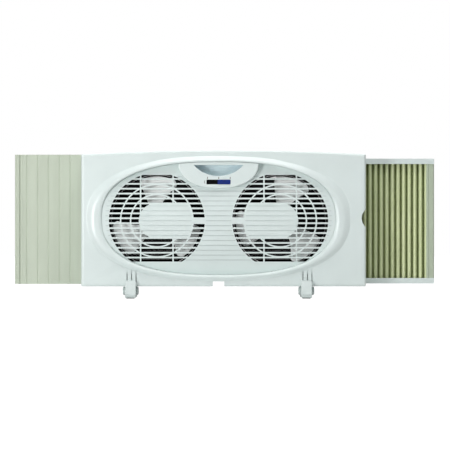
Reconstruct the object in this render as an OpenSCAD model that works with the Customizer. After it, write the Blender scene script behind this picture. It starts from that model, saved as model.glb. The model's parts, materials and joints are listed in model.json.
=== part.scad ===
// Twin window fan: a moulded case with two round vents behind one oval slatted grille, a control pod
// with a hand recess, a grooved filler panel on the left, a pleated sliding expander on the right,
// and two slip-on feet. x runs to the right and z up in front view, the front faces -y, and the
// floor is z = 0.

/* [Case] */
// Case width from the fans' centre line to its left end
case_left = 275; // [270:1:290]
// Case width from the fans' centre line to its right end
case_right = 295; // [290:1:310]
// Case height at its two ends
case_side_h = 265; // [262:1:275]
// Rise of the arched top above the ends
case_rise = 8; // [5:0.5:14]
// Case depth from the front plane to the back plane
case_d = 112; // [110:1:120]
// Depth of the front moulding, where the two halves meet
front_d = 68; // [66:1:70]
// Moulded wall
wall = 2.5; // [2:0.1:3]
// Rounding of the front edges
edge_r = 5; // [3:0.5:8]
// Rounding of the back edges
back_r = 5; // [4:0.5:8]
// Rounding of the corners in front view
corner_r = 2.5; // [2:0.5:6]
// Depth of the groove where the two halves meet
seam = 0.6; // [0.3:0.1:1]
// Width of the notch in the bottom edge
notch_w = 23; // [18:1:28]
// Height of the notch in the bottom edge
notch_h = 10; // [8:0.5:11]
// Height of the finger notch in the right edge
finger_h = 35; // [30:1:40]
// Depth of the finger notch in the right edge
finger_d = 8.6; // [7:0.2:10]

/* [Oval grille] */
// Distance of each fan's axis from the centre line
fan_dx = 123.5; // [122:0.5:126]
// Radius of each round vent in the grille
vent_r = 96; // [94:0.5:97]
// Spacing of the slats along the grille's curve
slat_pitch = 9.9; // [9.6:0.1:10.4]
// Open height between two slats
slot_h = 6.6; // [5.6:0.1:7.2]
// Radius of the grille's forward curve
dome_r = 420; // [400:5:480]
// Thickness of the grille
grille_t = 3; // [2.5:0.1:3.4]
// Width of the rings that tie the slats
tie_w = 2.8; // [2.2:0.1:3.2]
// Distance of the upright bars from each fan's axis
bar_dx = 32.5; // [30:0.5:34]
// Radius of the solid hub in front of each motor
hub_r = 36; // [35:0.5:38]
// Plain margin between a vent and the oval's end
oval_side = 14; // [12:0.5:16]
// Plain margin between a vent and the oval's top
oval_top = 17; // [16:0.25:18]
// Height of the soft rim in front of the case
swell_h = 6.5; // [5:0.25:8]
// Width of the soft rim above and below the oval
swell_top_w = 12; // [10:0.5:13]
// Width of the soft rim at the oval's two ends
swell_end_w = 32; // [28:0.5:34]
// Depth of the fine lines across the grille's solid parts
line_d = 1.2; // [0.8:0.1:1.4]
// Width of those lines
line_w = 1.4; // [1:0.1:1.8]

/* [Controls] */
// Width of the control pod
pod_w = 161; // [150:1:166]
// Height of the control pod's curved part
pod_h = 51; // [49:0.5:54]
// Width of the hand recess
cup_w = 99; // [88:1:100]
// Height of the hand recess
cup_h = 22.5; // [20:0.5:24]
// Depth of the hand recess
cup_d = 34; // [30:1:38]
// Length of the switch slot
slot_w = 48; // [46:0.5:49]
// Height of the switch slot
slot_z = 9.4; // [8:0.2:10]
// Width of the sliding knob
knob_w = 23.4; // [18:0.2:24]
// How far the knob stands in front of the pod
knob_out = 1.6; // [1:0.2:3]

/* [Fans] */
// Blades on each fan
blade_count = 3; // [3:1:5]
// Gap between a blade's tip and the duct
tip_gap = 4; // [3:0.5:6]
// Depth of each blade along the axis
blade_d = 24; // [18:1:26]
// Thickness of each blade
blade_t = 2; // [1.6:0.1:2.6]
// Radius of the fan hub, which turns round the motor
fan_hub_r = 34.5; // [34:0.5:35.5]
// Radius of the motor
motor_r = 29.5; // [26:0.5:30]
// Length of the motor
motor_l = 26; // [24:1:27]
// Radius of the motor shaft
shaft_r = 3; // [2.5:0.1:4]
// Radial clearance of the shaft in its bearings
running_fit = 0.05; // [0.03:0.01:0.09]
// Wall of the duct round each fan
duct_t = 2.4; // [2:0.1:2.8]
// Spacing of the back louvres
louvre_pitch = 9.2; // [8.8:0.1:10]
// Tilt of the back louvres
louvre_tilt = 48; // [40:1:50]

/* [Side panels] */
// Width of the grooved filler panel outside the case
panel_w = 136; // [114:1:160]
// Thickness of the filler panel
panel_t = 7; // [6:0.5:9]
// Spacing of the panel's grooves
groove_pitch = 22; // [20:0.5:26]
// Width of the strip on the panel's outer edge
strip_w = 9; // [7:0.5:12]
// How far the panel's tongue reaches into the case
tongue_w = 26; // [20:1:30]
// How far the expander stands open
exp_open = 124; // [104:1:130]
// Depth of the expander's rails
exp_d = 20; // [18:0.5:22]
// Height of each rail
rail_h = 11; // [10:0.5:12]
// Wall of the rails
rail_t = 1.6; // [1.2:0.1:2]
// Width of the expander's end bar
bar_w = 16; // [12:0.5:20]
// Pleats in the curtain
pleats = 14; // [10:1:18]
// Thickness of the curtain's sheet
sheet_t = 0.5; // [0.4:0.05:0.7]

/* [Feet] */
// Height of the case above the floor
foot_h = 24; // [22:0.5:26]
// Distance of each foot from the centre line
foot_x = 176; // [165:1:185]
// Width of each foot
foot_w = 21; // [18:0.5:24]
// Front to back length of each foot
foot_d = 155; // [150:1:170]
// How far a foot's upright covers the case
foot_up = 12; // [10:0.5:14]
// Width across a foot's round side bosses
boss_w = 32; // [28:0.5:36]

/* [Fit] */
// Clearance between pieces that slip together
fit = 0.3; // [0.2:0.05:0.4]
// Clearance of pieces pressed on a shaft
snug = 0.02; // [0.01:0.01:0.03]
// Radius of the case screws
screw_r = 1.6; // [1.4:0.1:1.8]

/* [Hidden] */
$fn = 64;

shell_white = [0.91, 0.93, 0.92];
panel_beige = [0.79, 0.81, 0.74];
curtain_green = [0.74, 0.76, 0.61];
bar_green = [0.69, 0.74, 0.64];
inner_black = [0.10, 0.10, 0.11];
switch_blue = [0.20, 0.32, 0.62];
recess_grey = [0.62, 0.69, 0.76];
blade_white = [0.93, 0.94, 0.93];
steel = [0.70, 0.71, 0.72];
rubber = [0.32, 0.33, 0.33];

// Planes along the depth
y_face = -case_d / 2;
y_back = case_d / 2;
split_y = y_face + front_d;

// The arched top is part of one wide circle
case_w = case_left + case_right;
case_mid = (case_right - case_left) / 2;
arch_r = (pow(case_w / 2, 2) + pow(case_rise, 2)) / (2 * case_rise);
arch_cz = foot_h + case_side_h + case_rise - arch_r;
axis_z = foot_h + (case_side_h + case_rise) / 2;
arch_points = 14;

// The oval round both vents
oval_a = fan_dx + vent_r + oval_side;
oval_b = vent_r + oval_top;
oval_power = 2.5;
swell_lean = 0.9;
oval_points = 120;
grille_y = y_face - 1;
collar_y = dome_y(oval_b) + grille_t + 1.5;

// Grille rows: each vent is centred on the row below the oval's middle, and its hub spans as many
// rows above that one as below
fan_z = axis_z - slat_pitch / 2;
rows = floor(vent_r / slat_pitch + 0.2);
hub_rows = 3;
hub_half = (hub_rows + 1) * slat_pitch - slot_h / 2;
tie_in = 23.5;
tie_gap = 20;
tie_radii = [vent_r - tie_in, vent_r - tie_in - tie_gap];

// Controls hang from the oval's top
pod_z = axis_z + oval_b - 2.5;
pod_y = y_face - 4.5;
pod_power = 2.2;
cup_top = axis_z + oval_b - 6.5;
cup_r = (pow(cup_w / 2, 2) + pow(cup_h, 2)) / (2 * cup_h);
cup_cz = cup_top - cup_h + cup_r;
cup_t = 2;
switch_z = pod_z - pod_h + 13;
knob_x = slot_w / 2 - fit - knob_w / 2;
slide_y = pod_y + wall;
switch_y = slide_y + 3;
switch_d = 12;
switch_h = 11;
switch_l = slot_w + 4;
ear_w = 14;

// Fan parts along the axis
mount_y = grille_y + grille_t + 0.9;
motor_y = mount_y + 6;
cap_y = motor_y + motor_l;
cap_t = 3;
bearing_l = 3;
hub_wall = 2.4;
hub_y0 = motor_y + 2;
web_y = cap_y + cap_t + bearing_l + 2 * fit;
hub_y1 = web_y + 3;
fan_y = (hub_y0 + hub_y1) / 2;
blade_r = vent_r - 7;
duct_r = blade_r + tip_gap;
duct_flange = 6;
bell_r = 8;
duct_y = collar_y + 2 * fit + bell_r + duct_t;
nut_d = 6;
shaft_y0 = motor_y + 2.5;
shaft_y1 = hub_y1 + nut_d + 1;
louvre_d = 10;
louvre_t = 1.6;

// Side panels share one plane in the back moulding
panel_y = split_y + 14;
exp_y0 = panel_y - exp_d / 2;
exp_y1 = panel_y + exp_d / 2;
exp_z0 = foot_h + 5;
exp_z1 = foot_h + case_side_h - 8;
bar_x = case_right + exp_open;
rail_in = 130;
anchor_x = case_right - 34;
anchor_w = 3;
bar_step = 1.4;
bar_r = 3.5;
bead_r = 2.4;
guide_t = 2;
guide_l = 168;
guide_end = case_right - back_r - 1;
panel_z0 = foot_h + 4;
panel_z1 = foot_h + case_side_h;
tongue_in = 17;
tongue_t = 4;
joint_w = 2;

// Feet
foot_y = foot_d / 2;
toe_r = 6.5;
pad_t = 3.2;
pad_out = 1.2;
peg_w = 12;
peg_in = 14;
peg_l = 30;
peg_y0 = y_face + peg_in;
peg_y1 = peg_y0 + peg_l;
peg_h = 7;

// Case screws, clear of the rails, the tongue and the ducts
screw_in = 13;
screw_low = 12;
screw_high = 9;
mid_screw = [-30, 14];
rail_screw_in = 52;
rail_screw_low = 27;
rail_screw_high = 23;
screw_places = [[-case_left + screw_in, foot_h + screw_low],
  [-case_left + screw_in, foot_h + case_side_h - screw_high],
  [mid_screw[0], foot_h + mid_screw[1]],
  [0, (axis_z + oval_b + foot_h + case_side_h + case_rise) / 2],
  [case_right - rail_screw_in, exp_z0 + rail_screw_low],
  [case_right - rail_screw_in, exp_z1 - rail_screw_high]];
post_r = 5;
screw_head_r = 3.4;
screw_head_t = 2.4;

// The whole object is centred on x = 0
x_lo = -case_left - panel_w;
x_hi = bar_x + bar_w;

// ---------------------------------------------------------------- helpers

// Front view outline drawn in (x, z) and given depth from y0 to y1
module slab(y0, y1) translate([0, y1, 0]) rotate([90, 0, 0]) linear_extrude(y1 - y0) children();

// Side view outline drawn in (y, z) and given width from x0 to x1
module across(x0, x1) translate([x0, 0, 0]) rotate([90, 0, 90]) linear_extrude(x1 - x0) children();

// Plan outline drawn in (x, y) and given height from z0 to z1
module upright(z0, z1) translate([0, 0, z0]) linear_extrude(z1 - z0) children();

// Box between two corners
module block(a, b) translate(a) cube(b - a);

// Round bar along y, and along x
module rod_y(r, y0, y1) translate([0, y0, 0]) rotate([-90, 0, 0]) cylinder(r = r, h = y1 - y0);
module rod_x(r, x0, x1) translate([x0, 0, 0]) rotate([0, 90, 0]) cylinder(r = r, h = x1 - x0);

// Turned piece about a fan's axis, its profile drawn in (radius, y)
module turned() rotate([-90, 0, 0]) rotate_extrude() children();

// Solid skinned over a stack of rings that all have the same even number of points
module loft(rings, closed = false) {
  n = len(rings[0]);
  m = len(rings);
  walls = [for (i = [0 : m - (closed ? 1 : 2)], j = [0 : n - 1])
    let (a = i * n + j, b = i * n + (j + 1) % n,
         c = ((i + 1) % m) * n + (j + 1) % n, d = ((i + 1) % m) * n + j)
    each [[a, d, c], [a, c, b]]];
  top = (m - 1) * n;
  ends = closed ? [] : [for (k = [0 : n / 2 - 2])
    let (a = k, b = k + 1, c = n - 2 - k, d = n - 1 - k)
    each [[a, b, c], [a, c, d], [top + a, top + c, top + b], [top + a, top + d, top + c]]];
  polyhedron(points = [for (r = rings) each r], faces = concat(walls, ends));
}

function arc(cx, cz, r, a0, a1, n) = [for (i = [0 : n])
  let (a = a0 + (a1 - a0) * i / n) [cx + r * cos(a), cz + r * sin(a)]];
function at_y(points, y) = [for (p = points) [p[0], y, p[1]]];
function flip(list) = [for (i = [len(list) - 1 : -1 : 0]) list[i]];
function power(v, e) = sign(v) * pow(abs(v), e);

// Depth of the grille's front surface at a height above or below the fans' axes
function dome_y(h) = grille_y + dome_r - sqrt(dome_r * dome_r - h * h);
function row_z(i) = dome_r * sin((i + 0.5) * slat_pitch / dome_r * 180 / PI);

// ---------------------------------------------------------------- case

function arch_z(x, in) = arch_cz + sqrt(pow(arch_r - in, 2) - pow(x - case_mid, 2));
function case_outline(in) =
  let (r = max(corner_r - in, 0.4), x0 = -case_left + in + r, x1 = case_right - in - r, z0 = foot_h + in + r)
  concat(arc(x0, z0, r, 180, 270, 3), arc(x1, z0, r, 270, 360, 3),
    arc(x1, arch_z(x1, in) - r, r, 0, 90, 3),
    [for (i = [1 : arch_points]) let (x = x1 - (x1 - x0) * i / (arch_points + 1)) [x, arch_z(x, in)]],
    arc(x0, arch_z(x0, in) - r, r, 90, 180, 3));

// Half of the case inset by in, open at y_open and rounded into its flat plane; lip is the depth of
// the groove round the open edge
module case_half(in, y_open, y_flat, r, lip = 0) {
  side = sign(y_open - y_flat);
  rings = concat([at_y(case_outline(in + lip), y_open)],
    lip > 0 ? [at_y(case_outline(in), y_open - side * lip)] : [], [for (a = [0 : 22.5 : 90])
    at_y(case_outline(in + (r - in) * (1 - cos(a))), y_flat + side * (in + (r - in) * (1 - sin(a))))]);
  loft(side > 0 ? rings : flip(rings));
}

// Oval opening, with its outward normals
function oval_turn(i) = 360 * (i + 0.5) / oval_points;
function oval_point(i) = let (t = oval_turn(i))
  [oval_a * power(cos(t), 2 / oval_power), oval_b * power(sin(t), 2 / oval_power)];
function oval_normal(i) = let (p = oval_point(i),
  g = [power(p[0] / oval_a, oval_power - 1) / oval_a, power(p[1] / oval_b, oval_power - 1) / oval_b])
  g / norm(g);
function swell_w(i) = swell_top_w + (swell_end_w - swell_top_w) * pow(oval_normal(i)[0], 2);
function swell_at(i, share) = swell_w(i) * pow(share, 1 + swell_lean * max(0, oval_normal(i)[1]));
function oval_ring(out, share = 0) = [for (i = [0 : oval_points - 1])
  oval_point(i) + oval_normal(i) * (out + swell_at(i, share)) + [0, axis_z]];

// Soft rim and the collar that runs back from it round the grille; its crest is a pair of shares of
// the rim's width and height, and leans to the lip along the top
module swell() {
  rim = [[0.92, 0.12], [0.8, 0.4], [0.66, 0.76], [0.5, 0.98], [0.34, 1], [0.2, 0.88], [0.08, 0.6], [0, 0.1]];
  sections = concat([[wall, 0, collar_y], [wall, 0, y_face + wall / 2], [0, 0.8, y_face + wall / 2],
    [0, 1, y_face + 0.3]], [for (r = rim) [0, r[0], y_face - r[1] * swell_h]], [[0, 0, collar_y]]);
  loft([for (s = sections) at_y(oval_ring(s[0], s[1]), s[2])], closed = true);
}

module bottom_notch(grow) block([-notch_w / 2 - grow, y_face - 9, foot_h - 9],
  [notch_w / 2 + grow, y_back + 9, foot_h + notch_h + grow]);

finger_r = (pow(finger_h / 2, 2) + pow(finger_d, 2)) / (2 * finger_d);
module finger_notch(grow, y1) translate([case_right + finger_r - finger_d, 0, axis_z])
  rod_y(finger_r + grow, y_face - 9, y1);

module screw_posts(y0, y1) for (p = screw_places) translate([p[0], 0, p[1]]) rod_y(post_r, y0, y1);
module screw_holes(y0, y1) for (p = screw_places) translate([p[0], 0, p[1]]) rod_y(screw_r + 0.15, y0, y1);

// Three slots above each foot, which run out at the top
groove_step = 9;
groove_w = 1.6;
module foot_grooves() for (s = [-1, 1], k = [-1, 0, 1])
  across(s * foot_x + 2 + k * groove_step - groove_w / 2, s * foot_x + 2 + k * groove_step + groove_w / 2)
    polygon([[y_face - 1, foot_h + foot_up - 3], [y_face + wall + 1, foot_h + foot_up - 3],
      [y_face + wall + 1, foot_h + foot_up + 10], [y_face - 0.01, foot_h + foot_up + 22],
      [y_face - 1, foot_h + foot_up + 22]]);

module front_housing() color(shell_white) difference() {
  union() {
    difference() {
      case_half(0, split_y, y_face, edge_r, seam);
      difference() {
        case_half(wall, split_y + 1, y_face, edge_r);
        bottom_notch(wall);
        finger_notch(wall, split_y);
      }
      slab(y_face - 1, y_face + 9) polygon(oval_ring(wall / 2));
    }
    swell();
    screw_posts(y_face + wall - 0.5, split_y);
  }
  bottom_notch(0);
  finger_notch(0, split_y + 1);
  screw_holes(split_y - 20, split_y + 1);
  foot_grooves();
  for (s = [-1, 1]) block([s * foot_x - peg_w / 2 - fit, peg_y0 - fit, foot_h - 1],
    [s * foot_x + peg_w / 2 + fit, peg_y1 + fit, foot_h + wall + 1]);
}

module rear_housing() color(shell_white) difference() {
  union() {
    difference() {
      case_half(0, split_y, y_back, back_r, seam);
      difference() {
        case_half(wall, split_y - 1, y_back, back_r);
        bottom_notch(wall);
      }
    }
    screw_posts(split_y, y_back - wall + 0.5);
    for (s = [-1, 1]) block(
      [-case_left + wall - 0.5, panel_y + s * (tongue_t / 2 + fit + 1) - 1, panel_z0 + tongue_in],
      [-case_left + wall + tongue_w - 5, panel_y + s * (tongue_t / 2 + fit + 1) + 1, panel_z1 - tongue_in]);
  }
  bottom_notch(0);
  finger_notch(0, panel_y);
  for (s = [-1, 1]) at_fan(s) rod_y(duct_r + duct_t + fit, y_back - 9, y_back + 9);
  block([case_right - wall - 1, exp_y0 - fit, exp_z0 - fit], [case_right + 1, exp_y1 + fit, exp_z1 + fit]);
  block([-case_left - 1, panel_y - tongue_t / 2 - fit, panel_z0 + tongue_in - fit],
    [-case_left + wall + 1, panel_y + tongue_t / 2 + fit, panel_z1 - tongue_in + fit]);
  screw_holes(split_y - 1, y_back + 1);
  for (p = screw_places) translate([p[0], 0, p[1]]) rod_y(screw_head_r + fit, y_back - screw_head_t, y_back + 1);
  translate([0, 0, foot_h + 40]) rod_y(inlet_r, y_back - 9, y_back + 9);
}

module case_screws() color(steel) for (p = screw_places) translate([p[0], 0, p[1]]) difference() {
  union() {
    rod_y(screw_r, split_y - 14, y_back - 0.5);
    rod_y(screw_head_r, y_back - screw_head_t, y_back - 0.4);
  }
  for (a = [0, 90]) rotate([0, a, 0]) block([-2, y_back - 1.6, -0.4], [2, y_back, 0.4]);
}

inlet_r = 7;
module cord_inlet() color(inner_black) translate([0, 0, foot_h + 40]) turned()
  polygon([[3.6, y_back - 8], [inlet_r - fit, y_back - 8], [inlet_r - fit, y_back],
    [inlet_r + 2.5, y_back], [inlet_r + 2.5, y_back + 1.2], [inlet_r, y_back + 2.2],
    [4.6, y_back + 2.2], [3.6, y_back + 1.2]]);

// ---------------------------------------------------------------- front grille

module tie_ring(r, w) difference() {
  circle(r = r + w / 2);
  circle(r = r - w / 2);
}

// Solid part in front of a motor, which runs to the middle of the grille; side is +1 on the right
module hub_zone(side) intersection() {
  circle(r = tie_radii[0]);
  union() {
    circle(r = hub_r);
    translate([side > 0 ? -vent_r : 0, -hub_half]) square([vent_r, 2 * hub_half]);
  }
  translate([-vent_r, -hub_half]) square([2 * vent_r, 2 * hub_half]);
}

module slot_rows(w, h) for (i = [-rows : rows - 1]) translate([-w / 2, row_z(i) - h / 2]) square([w, h]);

module vent_slots(side) difference() {
  intersection() {
    circle(r = vent_r);
    translate([0, axis_z - fan_z]) slot_rows(2 * vent_r + 2, slot_h);
  }
  for (r = tie_radii) tie_ring(r, tie_w);
  for (s = [-1, 1]) translate([s * bar_dx - tie_w / 2, -vent_r]) square([tie_w, 2 * vent_r]);
  hub_zone(side);
  translate([side > 0 ? -vent_r - 1 : 0, -slat_pitch / 2]) square([vent_r + 1, slat_pitch]);
}

// Half oval of the control pod, inset by in
pod_steps = 41;
function pod_outline(in, rise = 14) = let (a = pod_w / 2, b = pod_h) concat(
  [[-a + in, pod_z + rise]],
  [for (i = [0 : pod_steps]) let (t = 180 + 180 * i / pod_steps,
      x = power(cos(t), 2 / pod_power), z = power(sin(t), 2 / pod_power),
      g = [power(x, pod_power - 1) / a, power(z, pod_power - 1) / b], n = g / norm(g))
    [x * a - n[0] * in, z * b - n[1] * in + pod_z]],
  [[a - in, pod_z + rise]]);

// Fine lines between the rows, only where the grille is solid
module grille_lines() intersection() {
  translate([0, axis_z]) slot_rows(2 * oval_a, line_w);
  union() {
    difference() {
      polygon(oval_ring(-7));
      for (s = [-1, 1]) translate([s * fan_dx, fan_z]) circle(r = vent_r + 2);
    }
    for (s = [-1, 1]) translate([s * fan_dx, fan_z]) intersection() {
      hub_zone(s);
      circle(r = tie_radii[0] - tie_w);
    }
  }
}

// Curved shell, out and in from the grille's front surface
module dome_shell(out, in) translate([0, grille_y + dome_r, axis_z]) difference() {
  rod_x(dome_r + out, -oval_a - 5, oval_a + 5);
  rod_x(dome_r - in, -oval_a - 6, oval_a + 6);
}

module front_grille() color(shell_white) difference() {
  intersection() {
    slab(grille_y - 5, collar_y + 5) difference() {
      polygon(oval_ring(-fit));
      for (s = [-1, 1]) translate([s * fan_dx, fan_z]) vent_slots(s);
      polygon(pod_outline(5));
    }
    dome_shell(0, grille_t);
  }
  intersection() {
    slab(grille_y - 5, collar_y + 5) grille_lines();
    dome_shell(2, line_d);
  }
}

// ---------------------------------------------------------------- controls

// Half-moon of the hand recess, grown by out and with its straight top up above the opening
module cup_outline(out, up) intersection() {
  translate([0, cup_cz]) circle(r = cup_r + out, $fn = 96);
  translate([-cup_w, cup_top - 2 * cup_h]) square([2 * cup_w, 2 * cup_h + up]);
}

module pod_solid(in, y1) intersection() {
  loft([at_y(pod_outline(in), y1), at_y(pod_outline(in), pod_y + 2 + in / 2),
    at_y(pod_outline(in + 0.9), pod_y + 0.7 + in), at_y(pod_outline(in + 2.4), pod_y + in)]);
  slab(pod_y - 5, y1 + 5) polygon(oval_ring(-fit - in));
}

module control_pod() color(shell_white) difference() {
  union() {
    difference() {
      pod_solid(0, collar_y);
      pod_solid(wall, collar_y + 2);
    }
    for (s = [-1, 1]) translate([s * (switch_l / 2 + ear_w - 5), 0, switch_z])
      rod_y(3, slide_y - 0.5, switch_y);
  }
  translate([0, grille_y + dome_r, axis_z]) rod_x(dome_r + fit, -oval_a, oval_a);
  slab(pod_y - 5, slide_y + 5) cup_outline(0, 0);
  block([-slot_w / 2, pod_y - 5, switch_z - slot_z / 2], [slot_w / 2, slide_y + 1, switch_z + slot_z / 2]);
}

// Its inside at depth y, inset by in but for the straight top; the recess is a scoop, deepest at
// its top
function cup_ring(in, y) = let (r = cup_r - in, a = acos((cup_cz - cup_top) / r))
  at_y(arc(0, cup_cz, r, 270 - a, 270 + a, 31), y);

module hand_cup() color(recess_grey) difference() {
  union() {
    slab(slide_y, pod_y + cup_d + cup_t) cup_outline(cup_t, cup_t);
    slab(slide_y, slide_y + 1.6) cup_outline(cup_t + 1.5, cup_t);
  }
  loft(concat([for (a = [10 : 16 : 90])
    cup_ring((cup_h - 2) * (1 - sin(a)), slide_y + (pod_y + cup_d - slide_y) * cos(a))],
    [cup_ring(0, slide_y - 1)]));
}

module switch_body() color(inner_black) difference() {
  union() {
    block([-switch_l / 2, switch_y, switch_z - switch_h / 2],
      [switch_l / 2, switch_y + switch_d, switch_z + switch_h / 2]);
    block([-switch_l / 2 - ear_w, switch_y, switch_z - 4],
      [switch_l / 2 + ear_w, switch_y + 2, switch_z + 4]);
  }
  block([-knob_x - 4, switch_y - 1, switch_z - 2 - fit], [knob_x + 4, switch_y + 4, switch_z + 2 + fit]);
}

module switch_knob() color(switch_blue) difference() {
  union() {
    block([knob_x - knob_w / 2, pod_y - knob_out, switch_z - slot_z / 2 + fit],
      [knob_x + knob_w / 2, slide_y + fit, switch_z + slot_z / 2 - fit]);
    block([knob_x - knob_w / 2 - 2, slide_y + fit, switch_z - slot_z / 2 - 1.5],
      [knob_x + knob_w / 2 + 2, slide_y + fit + 1.2, switch_z + slot_z / 2 + 1.5]);
    block([knob_x - 3, slide_y + fit, switch_z - 2], [knob_x + 3, switch_y + 3, switch_z + 2]);
  }
  for (k = [-3 : 3]) block([knob_x + k * 2.4 - 0.45, pod_y - knob_out - 1, switch_z - slot_z],
    [knob_x + k * 2.4 + 0.45, pod_y - knob_out + 0.6, switch_z + slot_z]);
}

// ---------------------------------------------------------------- fans

module at_fan(side) translate([side * fan_dx, 0, fan_z]) children();

// Duct with a bell mouth in front and a flange that seats on the back wall
module duct(side) color(inner_black) at_fan(side) turned() union() {
  translate([duct_r, duct_y]) square([duct_t, y_back - duct_y]);
  translate([duct_r + duct_t / 2, y_back - wall - 3]) square([duct_t / 2 + duct_flange, 3]);
  difference() {
    translate([duct_r + bell_r + duct_t, duct_y]) circle(r = bell_r + duct_t);
    translate([duct_r + bell_r + duct_t, duct_y]) circle(r = bell_r);
    translate([duct_r + bell_r + duct_t, duct_y - 3 * bell_r]) square([3 * bell_r, 6 * bell_r]);
    translate([duct_r - 5, duct_y]) square([5 * bell_r, 3 * bell_r]);
  }
}

// Back grille of tilted louvres and two upright bars in a round frame
module rear_grille(side) color(inner_black) at_fan(side) {
  count = floor((duct_r - 4) / louvre_pitch);
  rise = louvre_d * tan(louvre_tilt) / 2;
  half = louvre_t / cos(louvre_tilt) / 2;
  difference() {
    rod_y(duct_r - fit, y_back - louvre_d, y_back);
    rod_y(duct_r - fit - 3, y_back - louvre_d - 1, y_back + 1);
  }
  intersection() {
    rod_y(duct_r - fit - 2, y_back - louvre_d + 0.2, y_back - 0.2);
    union() {
      for (i = [-count : count]) translate([0, y_back - louvre_d / 2, i * louvre_pitch])
        across(-duct_r, duct_r) polygon([[-louvre_d / 2, -rise - half], [louvre_d / 2, rise - half],
          [louvre_d / 2, rise + half], [-louvre_d / 2, -rise + half]]);
      for (s = [-1, 1])
        block([s * bar_dx - 1.5, y_back - louvre_d, -duct_r], [s * bar_dx + 1.5, y_back, duct_r]);
    }
  }
}

module motor_mount(side) color(steel) at_fan(side) {
  difference() {
    rod_y(motor_r + 3, motor_y - 2.5, motor_y);
    rod_y(12, motor_y - 3, motor_y + 1);
  }
  for (a = [45 : 90 : 315]) rotate([0, a, 0]) translate([motor_r - 4, 0, 0])
    rod_y(3.5, mount_y, motor_y - 2.5);
}

module motor_can(side) color(steel) at_fan(side) difference() {
  union() {
    rod_y(motor_r, motor_y, cap_y);
    rod_y(11.7, motor_y - 2, motor_y);
  }
  rod_y(motor_r * 0.6, motor_y + 5, cap_y + 1);
  rod_y(shaft_r + running_fit, motor_y + 1, motor_y + 6);
}

module motor_cap(side) color(steel) at_fan(side) difference() {
  union() {
    rod_y(motor_r, cap_y, cap_y + cap_t);
    rod_y(8, cap_y + cap_t, cap_y + cap_t + bearing_l);
  }
  rod_y(shaft_r + running_fit, cap_y - 1, cap_y + 9);
}

module rotor(side) color(steel) at_fan(side) difference() {
  rod_y(motor_r * 0.6 - 0.5, motor_y + 6, cap_y - 3);
  rod_y(shaft_r + snug, motor_y, cap_y);
}

module shaft(side) color(steel) at_fan(side) rod_y(shaft_r, shaft_y0, shaft_y1);

// One blade: sections from the hub to the tip, swept and twisted
blade_first = [95, 80];
blade_root_w = 42;
blade_spread = 14;
tip_round = 13;
blade_lean = 10;
tip_lean = 3;
function blade_section(u) = let (
    r = fan_hub_r - hub_wall / 2 + (blade_r - fan_hub_r + hub_wall / 2) * u,
    tip = max(0, u - 0.78) / 0.22,
    span = blade_root_w + blade_spread * u - tip_round * tip * tip,
    middle = -blade_lean * u + tip_lean * tip * tip,
    rise = blade_d * (1 - 0.22 * u) - blade_t)
  concat([for (k = [0 : 5]) blade_at(r, middle, span, rise, k / 5, blade_t / 2)],
    [for (k = [5 : -1 : 0]) blade_at(r, middle, span, rise, k / 5, -blade_t / 2)]);
function blade_at(r, middle, span, rise, c, off) = let (a = middle + (c - 0.5) * span)
  [r * cos(a), fan_y + (c - 0.5) * rise - 2.4 * (1 - pow(2 * c - 1, 2)) + off * (1 - 0.6 * pow(2 * c - 1, 2)),
    r * sin(a)];

module impeller(side) color(blade_white) at_fan(side) difference() {
  union() {
    turned() polygon([[0, hub_y0], [fan_hub_r - 0.8, hub_y0], [fan_hub_r, hub_y0 + 0.8],
      [fan_hub_r, hub_y1 - 3], [fan_hub_r - 3, hub_y1], [0, hub_y1]]);
    for (k = [0 : blade_count - 1]) rotate([0, -blade_first[side > 0 ? 1 : 0] - k * 360 / blade_count, 0])
      loft([for (u = [0 : 0.125 : 1]) blade_section(u)]);
  }
  rod_y(fan_hub_r - hub_wall, hub_y0 - 1, web_y);
  rod_y(shaft_r + snug, web_y - 1, hub_y1 + 1);
}

module hub_nut(side) color(inner_black) at_fan(side) difference() {
  translate([0, hub_y1, 0]) rotate([-90, 0, 0]) cylinder(r = 8, h = nut_d, $fn = 6);
  rod_y(shaft_r + snug, web_y, hub_y1 + nut_d + 1);
}

// Capacitor box, between the flanges of the two ducts
module run_capacitor() color(inner_black) {
  half = fan_dx - duct_r - duct_t - duct_flange - 5;
  block([-half, y_back - wall - 26, axis_z - 24], [half, y_back - wall, axis_z + 12]);
}

// ---------------------------------------------------------------- filler panel

module filler_panel() color(panel_beige) {
  x0 = x_lo + strip_w;
  difference() {
    block([x0, panel_y - panel_t / 2, panel_z0], [-case_left - fit, panel_y + panel_t / 2, panel_z1]);
    for (s = [-1, 1]) upright(panel_z0 - 1, panel_z1 + 1) translate([0, panel_y + s * panel_t / 2]) {
      for (x = [-case_left - 24.5 : -groove_pitch : x0 + 8])
        translate([x, 0]) rotate(45) square(1.6, center = true);
      translate([x0, 0]) square([2 * joint_w, 4], center = true);
      translate([x0 + joint_w + 4.5, 0]) rotate(45) square(0.8, center = true);
    }
  }
  block([-case_left - fit, panel_y - tongue_t / 2, panel_z0 + tongue_in],
    [-case_left + tongue_w, panel_y + tongue_t / 2, panel_z1 - tongue_in]);
}

module filler_strip() color(panel_beige) difference() {
  upright(panel_z0, panel_z1) union() {
    for (s = [-1, 1]) translate([x_lo + 2, panel_y + s * (panel_t / 2 - 1)]) circle(r = 2);
    translate([x_lo, panel_y - panel_t / 2 + 1]) square([strip_w, panel_t - 2]);
    translate([x_lo + 2, panel_y - panel_t / 2 - 1]) square([strip_w - 2, panel_t + 2]);
  }
  for (x = [x_lo + 3, x_lo + 6], s = [-1, 1]) block([x, panel_y + s * (panel_t / 2 + 1) - 0.4, panel_z0 - 1],
    [x + 0.8, panel_y + s * (panel_t / 2 + 1) + 0.4, panel_z1 + 1]);
}

// ---------------------------------------------------------------- expander

// Both rails and both guides are drawn at the bottom and mirrored for the top
module at_top() translate([0, 0, exp_z0 + exp_z1]) mirror([0, 0, 1]) children();

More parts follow.
